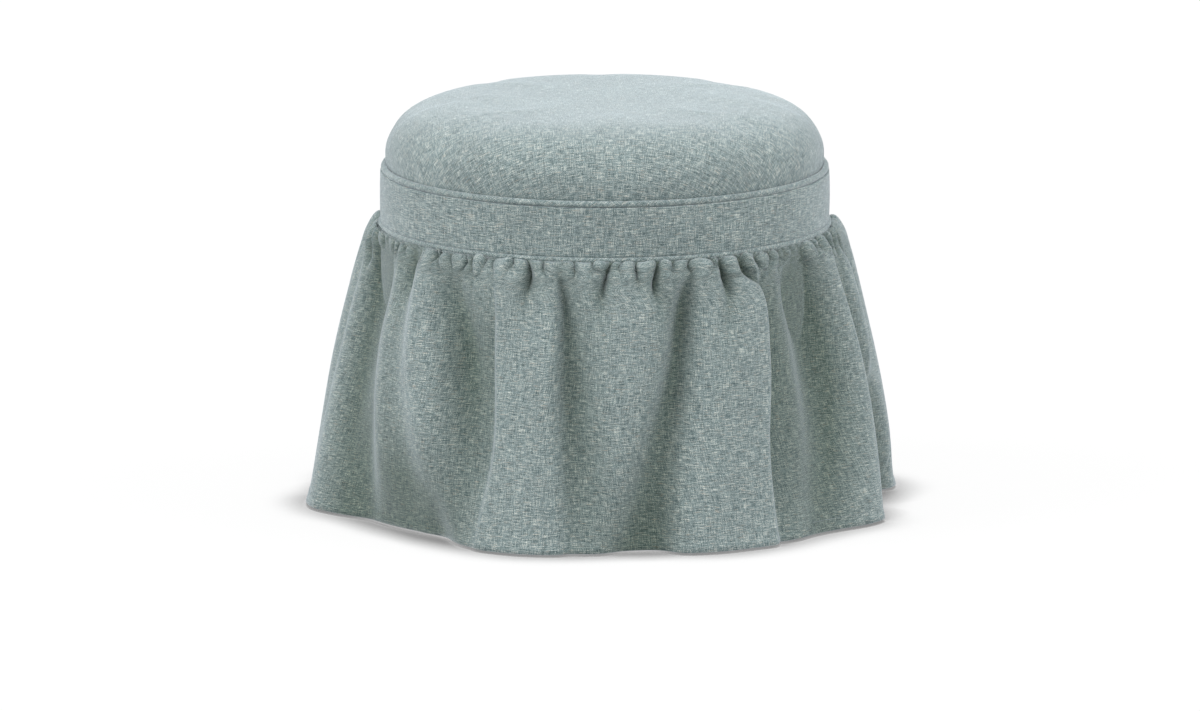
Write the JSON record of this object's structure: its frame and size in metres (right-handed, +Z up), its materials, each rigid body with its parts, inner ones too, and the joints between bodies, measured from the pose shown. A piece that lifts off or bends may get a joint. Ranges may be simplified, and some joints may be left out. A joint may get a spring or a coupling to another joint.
{
  "type": "upholstered ottoman",
  "caption": "Round skirted ottoman with a crowned padded seat over an upholstered drum, a welt above and below the band, and a gathered skirt that hides the legs down to the floor.",
  "frame": {"origin": "on the floor, under the middle of the whole ottoman", "axes": "+Z up, +X to the right seen from the front, front towards -Y"},
  "size_m": [0.6921, 0.6893, 0.48],
  "materials": {
    "upholstery": "slubby chenille-linen weave in grey sea green, soft nap with a pale sheen at a low angle",
    "wadding": "lofty white polyester wadding",
    "foam": "open-cell upholstery foam, cream",
    "piping_cord": "twisted cotton piping cord",
    "card": "brown card tack strip, matt",
    "dust_cloth": "black spun-bonded dust cloth",
    "plywood": "birch plywood, sanded, plies showing at the edges",
    "hardwood": "rubberwood, planed, clear sealed",
    "zinc_steel": "zinc-plated steel",
    "staple_wire": "galvanised staple wire",
    "nylon": "moulded black nylon"
  },
  "bodies": {
    "root": {"seat_cover": "upholstery", "seat_batting": "wadding", "seat_foam": "foam", "seat_board": "plywood", "top_welt": "upholstery", "top_welt_cord": "piping_cord", "band_cover": "upholstery", "band_wadding": "wadding", "lower_welt": "upholstery", "lower_welt_cord": "piping_cord", "skirt_front": "upholstery", "skirt_rear": "upholstery", "tack_strip": "card", "dust_cover": "dust_cloth", "top_ring": "plywood", "lower_ring": "plywood", "drum_hoop": "plywood", "leg_front_left": "hardwood", "leg_front_right": "hardwood", "leg_rear_left": "hardwood", "leg_rear_right": "hardwood", "leg_blocks": "hardwood", "leg_bolts": "zinc_steel", "leg_washers": "zinc_steel", "leg_nuts": "zinc_steel", "frame_screws": "zinc_steel", "seat_screws": "zinc_steel", "seat_cover_staples": "staple_wire", "band_cover_staples": "staple_wire", "skirt_staples": "staple_wire", "dust_cover_staples": "staple_wire", "floor_glides": "nylon", "glide_screws": "zinc_steel"}
  },
  "joints": []
}
